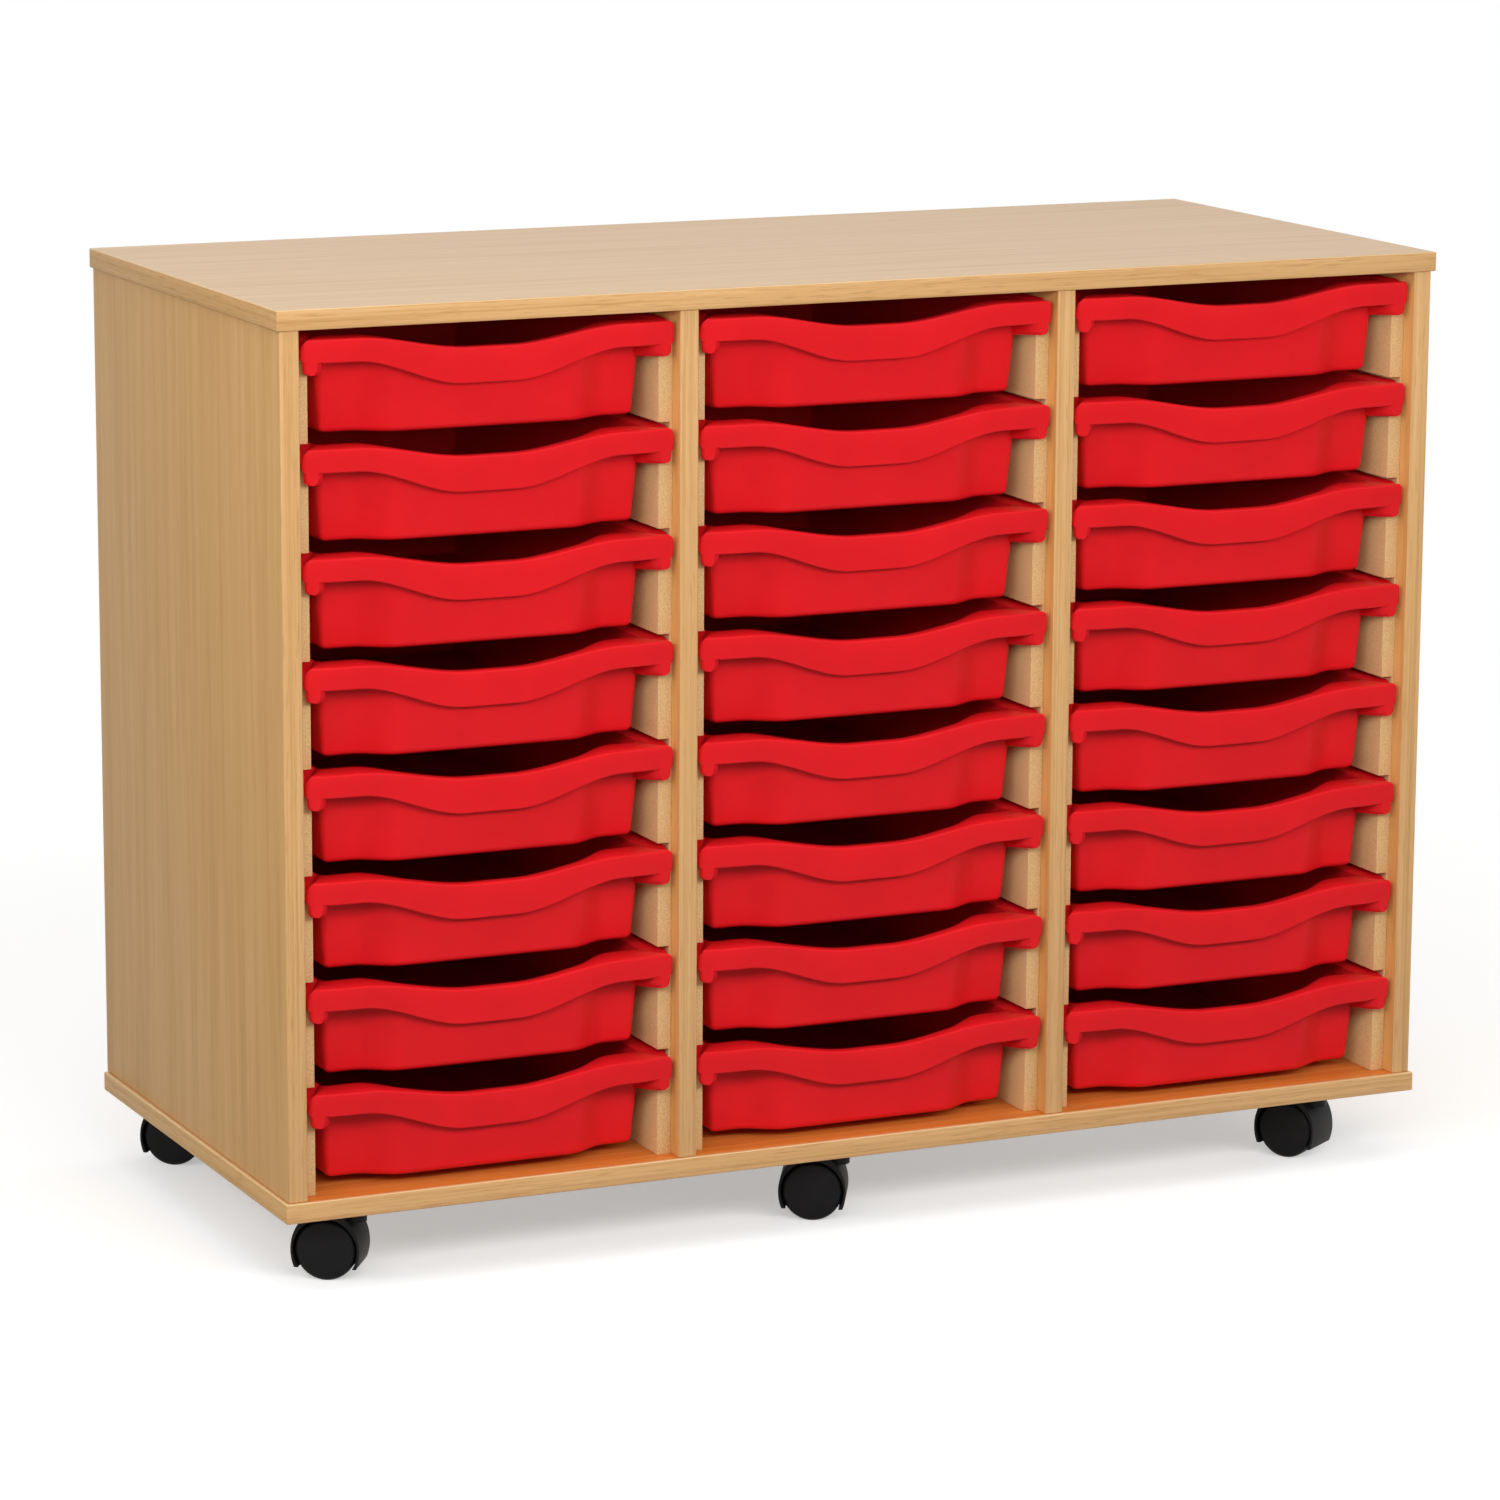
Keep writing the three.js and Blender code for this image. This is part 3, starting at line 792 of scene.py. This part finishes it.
@dataclass
class Tray:
    """A shallow moulded tray: a rim with a wavy front lip over a drafted body with a bowed front.

    The tray's own frame has x = 0 in its middle, y = 0 at the front of the carcass and z = 0
    under its floor.
    """

    width: float = 312.0
    depth: float = 427.0
    height: float = 77.0
    wall: float = 2.4
    rim_thickness: float = 3.0
    rim_edge: float = 1.8
    mouth_edge: float = 1.5
    skirt: float = 15.7
    back_radius: float = 18.0
    back_width: float = 12.0
    end_setback: float = 10.0
    end_radius: float = 5.0
    end_round: float = 8.0
    end_round_reach: float = 24.0
    end_shares: tuple[float, ...] = (0.2, 0.45, 0.7, 1.0)
    skirt_start: float = 0.4
    lip_setback: float = 0.6
    lip_height: float = 18.8
    lip_top_dip: float = 12.0
    lip_lower_dip: float = 21.8
    dip_inner: float = 18.0
    dip_lower_inner: float = 22.0
    dip_outer: float = 112.0
    lip_hollow: float = 3.0
    lip_lean: float = 2.4
    lip_end_curve: float = 4.5
    apron_width: float = 13.0
    apron_height: float = 28.0
    apron_inset: float = 1.2
    apron_lean: float = 0.1
    apron_draft: float = 1.0
    apron_round: float = 4.0
    apron_inner_round: float = 2.5
    apron_sink: float = 0.84
    gusset_fall: float = 2.0
    gusset_clear: Plan = (146.0, 17.0)
    gusset_sweep: Plan = (9.0, 3.0)
    body_width: float = 276.0
    draft: float = 6.5
    neck_drop: float = 8.0
    neck_draft: float = 0.12
    corner_radius: float = 8.0
    corner_least: float = 3.0
    corner_gaps: tuple[float, ...] = (4.0, 10.0, 20.0, 35.0)
    edge_radius: float = 5.0
    floor_margin: float = 2.0
    front_setback: float = 12.0
    front_bow: float = 16.0
    front_shared: float = 110.0
    bow_inner: float = 72.0
    bow_outer: float = 108.0
    side_stations: tuple[float, ...] = (150.0, 280.0)
    back_station: float = 70.0
    wave_step: float = 5.0
    arc_steps: int = 6
    finish: MouldedPlastic = MouldedPlastic(
        "red_polypropylene", "#e01c23", "#da1b22", roughness=0.42, sheen_level=0.15
    )

    def top_drop(self, x: float) -> float:
        """How far the lip's upper edge lies below the rim at x."""
        return self.lip_top_dip * ease(self.dip_outer, self.dip_inner, x)

    def lower_drop(self, x: float) -> float:
        """How far the lip's lower edge lies below the rim at x."""
        return self.lip_height + self.lip_lower_dip * ease(self.dip_outer, self.dip_lower_inner, x)

    def lip_front(self, x: float) -> float:
        """Front of the lip in plan: hollow in the middle, with ends that turn back."""
        hollow = self.lip_hollow * ease(self.dip_outer, self.dip_inner, x)
        end = max(0.0, (x - self.dip_outer) / (self.width / 2 - self.dip_outer))
        return self.lip_setback + hollow + self.lip_end_curve * end * end

    def wall_front(self, x: float) -> float:
        """Front of the body in plan: it bows forward in the middle."""
        return self.front_setback + self.front_bow * ease(self.bow_inner, self.bow_outer, x)

    def front_places(self) -> list[float]:
        """Places across the front, from the middle to where the lip's end turns back."""
        reach = self.width / 2 - self.end_radius
        places = [i * self.wave_step for i in range(int(self.width / 2 / self.wave_step))]
        return [place for place in places if place < reach] + [reach]

    def end_arc(self, first: tuple[float, ...], out: float) -> Iterator[Point]:
        """Turn and plan of the points round the lip's end, from its front to its outer side."""
        for turn in quarter_turns(self.arc_steps)[1:]:
            x = blend(first[0], out, math.sin(turn))
            yield turn, x, blend(self.end_setback, first[1], math.cos(turn))

    def rim_ring(self, inset: float, drop: Drop) -> Ring:
        """Outline of the rim.

        Args:
            inset: How far it lies inside the rim's outer face.
            drop: How far it lies below the rim's top, by the place across, the share of the way
                from the lip to the side skirt and the share of the rounding at the lip's end.

        Returns:
            The ring's points in millimetres.
        """
        end = self.width / 2
        places = self.front_places()
        half: Ring = []
        for x in places:
            low = drop(x, 0.0, 0.0)
            whole = self.lower_drop(x) - self.top_drop(x)
            lean = self.lip_lean * (low - self.top_drop(x)) / whole
            place = min(x, places[-1] - inset / 2)
            half.append((place, self.lip_front(x) + lean + inset, self.height - low))
        for turn, x, y in self.end_arc(half[-1], end - inset):
            side = ease(self.skirt_start * QUARTER, QUARTER, turn)
            half.append((x, y, self.height - drop(end, side, 1 - math.cos(turn))))
        for share in self.end_shares:
            y = blend(self.end_setback, self.end_round_reach, share)
            low = drop(end, 1.0, 1 - ease(0.0, 1.0, share))
            half.append((end - inset, y, self.height - low))
        level = self.height - drop(end, 1.0, 0.0)
        centre = (end - self.back_radius, self.depth - self.back_radius)
        return self.close_back(half, centre, self.back_radius - inset, level)

    def close_back(self, half: Ring, centre: Plan, radius: float, level: float) -> Ring:
        """Takes half an outline along its side and round its back corner, and mirrors it.

        Args:
            half: The outline so far, from the front's middle.
            centre: Centre of the back corner in plan.
            radius: Radius of the corner.
            level: Height of the side and the back.

        Returns:
            The whole ring.
        """
        side, back = centre[0] + radius, centre[1] + radius
        half += [(side, y, level) for y in self.side_stations]
        for turn in quarter_turns(self.arc_steps):
            x, y = centre[0] + radius * math.cos(turn), centre[1] + radius * math.sin(turn)
            half.append((x, y, level))
        half += [(x, back, level) for x in (self.back_station, 0.0)]
        return half + [(-x, y, z) for x, y, z in reversed(half[1:-1])]

    def body_ring(self, inset: float, height: Callable[[float], float]) -> Ring:
        """Outline of the body.

        Args:
            inset: How far it lies inside the wall's outer face at the rim.
            height: Its height by the place across.

        Returns:
            The ring's points in millimetres.
        """
        side = self.body_width / 2 - inset
        radius = max(self.corner_radius - inset, self.corner_least)
        straight = side - radius
        places, start = self.front_places(), self.front_shared
        half: Ring = []
        for x in places:
            share = max(0.0, x - start) / (places[-1] - start)
            place = min(x, start) + (straight - start) * share
            half.append((place, self.wall_front(place) + inset, height(place)))
        front = half[-1][1]
        for turn in quarter_turns(self.arc_steps)[1:]:
            x = straight + radius * math.sin(turn)
            half.append((x, front + radius * (1 - math.cos(turn)), height(x)))
        level = height(side)
        half += [(side, front + radius + gap, level) for gap in self.corner_gaps]
        centre = (straight, self.depth - self.back_width - inset - radius)
        return self.close_back(half, centre, radius, level)

    def gusset_root(self) -> Plan:
        """Centre of the body's front corner in plan, where the gusset ends."""
        side = self.body_width / 2
        return side - self.corner_radius, self.wall_front(side) + self.corner_radius

    def gusset_ring(self, drop: Callable[[float, float], float], shrink: float) -> Ring:
        """Outline of the right-hand gusset, which runs from the lip's end to the body's corner.

        Args:
            drop: How far the ring lies below the rim's top, by the place across and along.
            shrink: How far its outer faces lie inside their upper place.

        Returns:
            The ring's points in millimetres.
        """
        end, (across, along) = self.width / 2, self.gusset_root()
        start = end - self.apron_width + min(shrink, self.apron_draft + self.apron_inner_round)
        stop = end - self.end_radius - shrink
        plan: list[Plan] = []
        for x in (start, blend(start, stop, 0.5), stop):
            low = drop(x, 0.0)
            sink = self.apron_sink * (1 - low / self.apron_height)
            plan.append((x, self.lip_front(x) + sink + self.apron_lean * low))
        plan += [(x, y) for _, x, y in self.end_arc(plan[-1], end - self.apron_inset - shrink)]
        plan.append(self.gusset_clear)
        # The root lies within the wall, which draws in by the draft on its way down.
        depth = drop(across, along) / self.height
        reach = self.corner_radius - 0.75 * self.wall - 2 / 3 * self.draft * depth
        for turn in (24, 36, 49, 61, 74):
            angle = math.radians(turn)
            plan.append((across + reach * math.cos(angle), along - reach * math.sin(angle)))
        root, front = plan[-1], plan[0]
        bend = (front[0] - self.gusset_sweep[0], front[1] + self.gusset_sweep[1])
        for share in (0.25, 0.5, 0.75):
            legs = [(blend(a, b, share), blend(b, c, share)) for a, b, c in zip(root, bend, front)]
            plan.append((blend(*legs[0], share), blend(*legs[1], share)))
        return [(x, y, self.height - drop(x, y)) for x, y in plan]

    def gusset_rings(self) -> list[Ring]:
        """Rings of the right-hand gusset from its rounded lower edge up into the rim."""
        lip_end, root = self.width / 2 - self.end_radius, self.gusset_root()[1]

        def in_rim(x: float, y: float) -> float:
            """Drop of the top, which stays inside the rim."""
            share = min(1.0, max(0.0, x - lip_end) / (self.end_radius - self.apron_inset))
            return self.rim_thickness / 2 + self.end_round * (1 - math.sqrt(1 - share * share))

        def lower(lift: float) -> Callable[[float, float], float]:
            """Drop of a ring a little above the lower edge, which falls towards the body."""
            slope = self.gusset_fall / (root - self.end_setback)
            return lambda x, y: self.apron_height - lift + slope * max(0.0, y - self.end_setback)

        rings: list[Ring] = []
        for turn in (0, 22, 45, 67, 90):
            angle = math.radians(turn)
            shrink = self.apron_draft + self.apron_round * (1 - math.sin(angle))
            rings.append(self.gusset_ring(lower(self.apron_round * (1 - math.cos(angle))), shrink))
        return rings + [self.gusset_ring(in_rim, 0.0)]

    def floor_rings(self, lift: float) -> list[Ring]:
        """Rings of a face of the floor, from its middle outwards and up its rounded edge.

        Args:
            lift: How far the face lies above the underside; its edge lies as far inside.

        Returns:
            The rings.
        """
        side = self.draft + lift
        inner = side + self.edge_radius + self.floor_margin
        rings = [self.body_ring(inner, lambda x: lift)]
        for inset, rise in rounding(self.edge_radius, 4):
            rings.append(self.body_ring(side + inset, lambda x, rise=rise: lift + rise))
        return rings

    def rings(self) -> list[Ring]:
        """All rings from under the floor, over the rim, to the floor's upper face."""
        wall = self.wall

        def edge(lift: float) -> Drop:
            """Drop of a ring that runs a little above the rim's lower edge."""
            return lambda x, side, turn: blend(self.lower_drop(x), self.skirt, side) - lift

        def top(lower_by: float) -> Drop:
            """Drop of a ring a little below the rim's top."""
            return lambda x, side, turn: self.top_drop(x) + self.end_round * turn + lower_by

        def half_way(x: float, side: float, turn: float) -> float:
            """Drop of the middle of the lip."""
            return (top(0.0)(x, side, turn) + edge(0.0)(x, side, turn)) / 2

        def level(lower_by: float) -> Callable[[float], float]:
            """Height of a body ring a little below the rim's top."""
            return lambda x: self.height - self.top_drop(x) - lower_by

        rings = self.floor_rings(0.0)
        neck = level(self.rim_thickness + self.neck_drop)
        rings.append(self.body_ring(self.draft * self.neck_draft, neck))
        rings.append(self.body_ring(0.0, level(self.rim_thickness)))
        rings.append(self.rim_ring(wall, top(self.rim_thickness)))
        for share, lift in ((1.0, 1.0), (0.75, 0.15), (0.25, 0.15), (0.0, 0.9)):
            rings.append(self.rim_ring(wall * share, edge(lift)))
        rings.append(self.rim_ring(0.0, half_way))
        for drop, inset in rounding(self.rim_edge, 3):
            rings.append(self.rim_ring(inset, top(drop)))
        for inset, drop in rounding(self.mouth_edge, 2):
            rings.append(self.body_ring(wall - inset, level(drop)))
        return rings + self.floor_rings(wall)[::-1]

    def build(self) -> Piece:
        """Models one tray: the lofted shell, joined with a gusset at each end of the lip."""
        piece = add_loft("tray_moulding", self.rings())
        close_mesh(piece)
        right = self.gusset_rings()
        left = [[(-x, y, z) for x, y, z in reversed(ring)] for ring in right]
        for rings in (left, right):
            gusset = add_loft("gusset", rings)
            close_mesh(gusset)
            join_or_cut(piece, gusset, "UNION")
        close_mesh(piece, angle=40.0)
        return piece

    def build_all(self) -> None:
        """Copies the tray to every place in the bays and dresses the copies."""
        original = self.build()
        dress(original, self.finish.material())
        for bay in Bay:
            for row in range(1, ROWS + 1):
                node = f"tray_{bay.value}_{row}"
                low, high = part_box(node)
                place = Vector(((low.x + high.x) / 2, high.y - self.depth * MM, low.z))
                piece = copy_to(original, node + "_moulding", Matrix.Translation(place))
                seat(piece, node, node)
        bpy.data.objects.remove(original)


@dataclass
class Castor:
    """Hooded twin-wheel castor, with x forward of the trail, y along the axle and z up."""

    height: float = 61.0
    trail: float = 20.0
    wheel_radius: float = 25.0
    wheel_width: float = 15.5
    wheel_spacing: float = 8.0
    wheel_dome: float = 1.2
    tread_round: float = 4.0
    shoulder: float = 1.0
    hub_radius: float = 8.0
    axle_radius: float = 3.0
    hood_wall: float = 1.8
    hood_clearance: float = 1.2
    hood_web: float = 6.0
    hood_drop: float = 14.5
    hood_round: float = 1.2
    hood_crease: float = 0.7
    boss_radius: float = 10.0
    boss_low: float = 46.0
    plate_size: float = 44.0
    plate_corner: float = 6.0
    plate_edge: float = 0.6
    plate_thickness: float = 2.5
    turn_gap: float = 0.3
    pin_radius: float = 4.0
    pin_length: float = 10.0
    socket_spare: float = 1.0
    screw_radius: float = 3.6
    screw_place: float = 15.0
    screw_head: float = 2.4
    screw_proud: float = 0.15
    screw_rim: float = 1.2
    screw_recess: float = 0.5
    spin_steps: int = 48
    drum_sides: int = 72
    boss_sides: int = 48
    pin_sides: int = 24
    nylon: MouldedPlastic = MouldedPlastic(
        "moulded_nylon_hood", "#141313", "#111010", roughness=0.5, cloud=12.0, sheen_level=0.15
    )
    tread: MouldedPlastic = MouldedPlastic(
        "moulded_nylon_wheel", "#161515", "#131212", roughness=0.45, cloud=12.0, sheen_level=0.12
    )
    steel: PlatedSteel = PlatedSteel()

    def build_wheels(self) -> Piece:
        """Models the two wheels on their axle by spinning a profile about the axle."""
        radius, step = self.wheel_radius, self.shoulder
        inner, outer = self.wheel_spacing / 2, self.wheel_spacing / 2 + self.wheel_width
        half = [
            (self.axle_radius, inner + step),
            (self.hub_radius, inner + step),
            (self.hub_radius + step, inner),
            (radius - step, inner),
            (radius, inner + step),
        ]
        half += [
            (radius - inset, outer - step - drop) for drop, inset in rounding(self.tread_round, 6)
        ]
        for share in (0.7, 0.5, 0.3, 0.1, 0):
            half.append((share * radius, outer - self.wheel_dome * share * share))
        line = [(-y, 0.0, r) for r, y in reversed(half)] + [(y, 0.0, r) for r, y in half]
        wheels = add_profile("wheel_pair", line)
        with editing(wheels):
            bpy.ops.mesh.spin(
                steps=self.spin_steps,
                angle=2 * math.pi,
                center=(0, 0, 0),
                axis=(1, 0, 0),
                use_auto_merge=True,
            )
        close_mesh(wheels, angle=30.0)
        turn = Matrix.Rotation(QUARTER, 4, "Z")
        place = Vector((-self.trail, 0.0, radius)) * MM
        wheels.data.transform(Matrix.Translation(place) @ turn)
        return wheels

    def build_hood(self) -> Piece:
        """Models the hood: a raised drum cut off below, hollowed for the wheels, with a boss on it."""
        inner = self.wheel_radius + self.hood_clearance
        outer = inner + self.hood_wall
        width = 2 * self.wheel_width + self.wheel_spacing
        hub = (-self.trail, 0.0, self.wheel_radius)
        top = self.height - self.plate_thickness - self.turn_gap
        hood = add_barrel("hood", outer, width, (0.0, 0.0, 0.0), Axis.Y, self.drum_sides)
        raised = Matrix.Diagonal((1.0, 1.0, (top - self.wheel_radius) / outer, 1.0))
        hood.data.transform(Matrix.Translation(Vector(hub) * MM) @ raised)
        cut = self.wheel_radius - self.hood_drop
        with editing(hood):
            bpy.ops.mesh.bisect(
                plane_co=(0, 0, cut * MM), plane_no=(0, 0, 1), use_fill=True, clear_inner=True
            )
        middle, high = (0.0, 0.0, (self.boss_low + top) / 2), top - self.boss_low
        boss = add_barrel("boss", self.boss_radius, high, middle, Axis.Z, self.boss_sides)
        join_or_cut(hood, boss, "UNION")
        deep = self.pin_length + 2 * self.socket_spare
        socket = (0.0, 0.0, top + self.socket_spare - deep / 2)
        sideways = (self.hood_web + width) / 2
        axle, pin = self.axle_radius + self.turn_gap, self.pin_radius + self.turn_gap
        spaces = [
            add_barrel("space", inner, width, (hub[0], y, hub[2]), Axis.Y, self.drum_sides)
            for y in (-sideways, sideways)
        ]
        spaces.append(add_barrel("bore", axle, width, hub, Axis.Y, self.pin_sides))
        spaces.append(add_barrel("socket", pin, deep, socket, Axis.Z, self.pin_sides))
        for space in spaces:
            join_or_cut(hood, space, "DIFFERENCE")
        apply_modifier(
            hood,
            "BEVEL",
            width=self.hood_round * MM,
            segments=3,
            limit_method="ANGLE",
            angle_limit=self.hood_crease,
        )
        close_mesh(hood, angle=30.0)
        return hood

    def build_plate(self) -> Piece:
        """Models the mounting plate with its kingpin and four screw heads."""
        half, high, low = self.plate_size / 2, self.height, self.height - self.plate_thickness
        plate = add_block("plate", Vector((-half, -half, low)) * MM, Vector((half, half, high)) * MM)
        with editing(plate):
            pick(plate, "edges", lambda edge: abs(edge.verts[0].co.z - edge.verts[1].co.z) > MM)
            bpy.ops.mesh.bevel(offset=self.plate_corner * MM, segments=6, affect="EDGES")
            pick(plate, "edges", lambda edge: all(v.co.z < (low + 0.1) * MM for v in edge.verts))
            bpy.ops.mesh.bevel(offset=self.plate_edge * MM, segments=2, affect="EDGES")
        length = self.plate_thickness / 2 + self.pin_length
        centre = (0.0, 0.0, high - self.plate_thickness / 2 - length / 2)
        pin = add_barrel("pin", self.pin_radius, length, centre, Axis.Z, self.pin_sides)
        join_or_cut(plate, pin, "UNION")
        level = low + self.screw_head / 2 - self.screw_proud
        for x in (-self.screw_place, self.screw_place):
            for y in (-self.screw_place, self.screw_place):
                head = add_barrel(
                    "screw", self.screw_radius, self.screw_head, (x, y, level), Axis.Z, self.pin_sides
                )
                with editing(head):
                    pick(head, "faces", lambda face: face.normal.z < -0.5)
                    bpy.ops.mesh.inset(thickness=self.screw_rim * MM, depth=-self.screw_recess * MM)
                join_or_cut(plate, head, "UNION")
        close_mesh(plate, angle=30.0)
        return plate

    def build_all(self) -> None:
        """Copies the three pieces to every castor and dresses them."""
        plate, hood, wheels = self.build_plate(), self.build_hood(), self.build_wheels()
        dress(plate, self.steel.material())
        dress(hood, self.nylon.material())
        dress(wheels, self.tread.material())
        for castor in CastorPlace:
            name, degrees = castor.value
            node = f"castor_{name}"
            low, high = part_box(node + "_plate")
            foot = Matrix.Translation(((low + high) / 2).to_2d().to_3d())
            turned = foot @ Matrix.Rotation(-math.radians(degrees), 4, "Z")
            piece = copy_to(plate, node + "_plate_pressing", foot)
            seat(piece, "carcass", node + "_plate")
            piece = copy_to(hood, node + "_hood_moulding", turned)
            seat(piece, node + "_fork", node + "_hood")
            piece = copy_to(wheels, node + "_wheel_mouldings", turned)
            seat(piece, node + "_wheel_pair", node + "_wheels")
        for original in (plate, hood, wheels):
            bpy.data.objects.remove(original)


@dataclass(frozen=True)
class Softbox:
    """A rectangular studio lamp, in millimetres and watts, which camera and reflections look past."""

    name: str
    place: Point
    aim: Point
    size: Plan
    power: float

    def build(self) -> None:
        """Hangs the lamp and turns it to its aim."""
        data = bpy.data.lights.new(self.name, "AREA")
        data.shape = "RECTANGLE"
        data.size, data.size_y = (side * MM for side in self.size)
        data.energy = self.power
        lamp = bpy.data.objects.new(self.name, data)
        lamp.location = Vector(self.place) * MM
        aim = Vector(self.aim) * MM - lamp.location
        lamp.rotation_euler = aim.to_track_quat("-Z", "Y").to_euler()
        lamp.visible_camera = lamp.visible_glossy = False
        bpy.context.scene.collection.objects.link(lamp)


@dataclass
class Studio:
    """White floor, soft light and the camera of the photograph."""

    camera_place: Point = (-2002.9, -4317.5, 1330.7)
    camera_yaw: float = 24.7693
    camera_pitch: float = 11.5566
    camera_roll: float = 0.2890
    lens: float = 138.065
    sensor: float = 36.0
    sight: float = 200.0
    ambient: float = 0.27
    floor_size: float = 120.0
    floor_bounce: float = 0.3
    floor_white: float = 0.78
    floor_glow: float = 0.4
    shade_reach: float = 1100.0
    white_reach: float = 2200.0
    lamps: tuple[Softbox, ...] = (
        Softbox("front_strip", (-200, -1900, 1150), (50, 0, 480), (5200, 500), 50.0),
        Softbox("overhead_softbox", (-300, -300, 3000), (0, 0, 781), (3000, 3000), 28.5),
        Softbox("left_fill", (-3000, -700, 1900), (-512, 0, 560), (1500, 1500), 25.0),
        Softbox("right_fill", (2900, 500, 420), (512, 0, 420), (1500, 640), 20.0),
        Softbox("back_fill", (300, 2900, 420), (0, 225, 420), (2600, 640), 30.0),
    )

    def build_camera(self) -> None:
        """Sets the camera where the photograph was taken from."""
        data = bpy.data.cameras.new("camera")
        data.lens, data.sensor_width = self.lens, self.sensor
        data.clip_end = self.sight
        camera = bpy.data.objects.new("camera", data)
        bpy.context.scene.collection.objects.link(camera)
        camera.matrix_world = (
            Matrix.Translation(Vector(self.camera_place) * MM)
            @ Matrix.Rotation(-math.radians(self.camera_yaw), 4, "Z")
            @ Matrix.Rotation(QUARTER - math.radians(self.camera_pitch), 4, "X")
            @ Matrix.Rotation(math.radians(self.camera_roll), 4, "Z")
        )
        bpy.context.scene.camera = camera

    def build_light(self) -> None:
        """Lights the unit from the front, the left and above, with an even surround."""
        shading = Shading(bpy.data.worlds.new("surround"))
        strength = shading.spread(shading.shown(), self.ambient, 1.0)
        surround = shading.add("Background", {"Color": WHITE}, {"Strength": strength})
        bpy.context.scene.world = shading.end(surround)
        for lamp in self.lamps:
            lamp.build()

    def build_floor(self) -> None:
        """Lays the white floor, which keeps the unit's shadow."""
        bpy.ops.mesh.primitive_plane_add(size=self.floor_size)
        floor = settled("floor")
        shading = new_finish("white_paper_floor")
        shown = shading.shown()
        tone = shading.spread(shown, self.floor_bounce, self.floor_white)
        paper = shading.add("BsdfDiffuse", links={"Color": tone})
        glow = shading.spread(shown, 0.0, self.floor_glow)
        light = shading.add("Emission", {"Color": WHITE}, {"Strength": glow})
        near = shading.add("AddShader", links={0: paper, 1: light})
        far = shading.add("Emission", {"Color": WHITE}, {"Strength": shown})
        place = shading.add("TexCoord", output="Object")
        away = shading.add("VectorMath", {"operation": "LENGTH"}, {0: place}, output="Value")
        share = shading.spread(away, 0.0, 1.0, self.shade_reach * MM, self.white_reach * MM)
        share.node.interpolation_type = "SMOOTHSTEP"
        dress(floor, shading.end(shading.add("MixShader", links={0: share, 1: near, 2: far})))

    def build(self) -> None:
        """Builds camera, light and floor."""
        self.build_camera()
        self.build_light()
        self.build_floor()
        bpy.context.scene.view_settings.view_transform = "Standard"


def main() -> None:
    """Builds the studio and the unit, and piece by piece."""
    logging.basicConfig(level=logging.INFO, format="%(message)s")
    Studio().build()
    Carcass().build()
    RunnerSet().build()
    Tray().build_all()
    Castor().build_all()


if __name__ == "__main__":
    main()
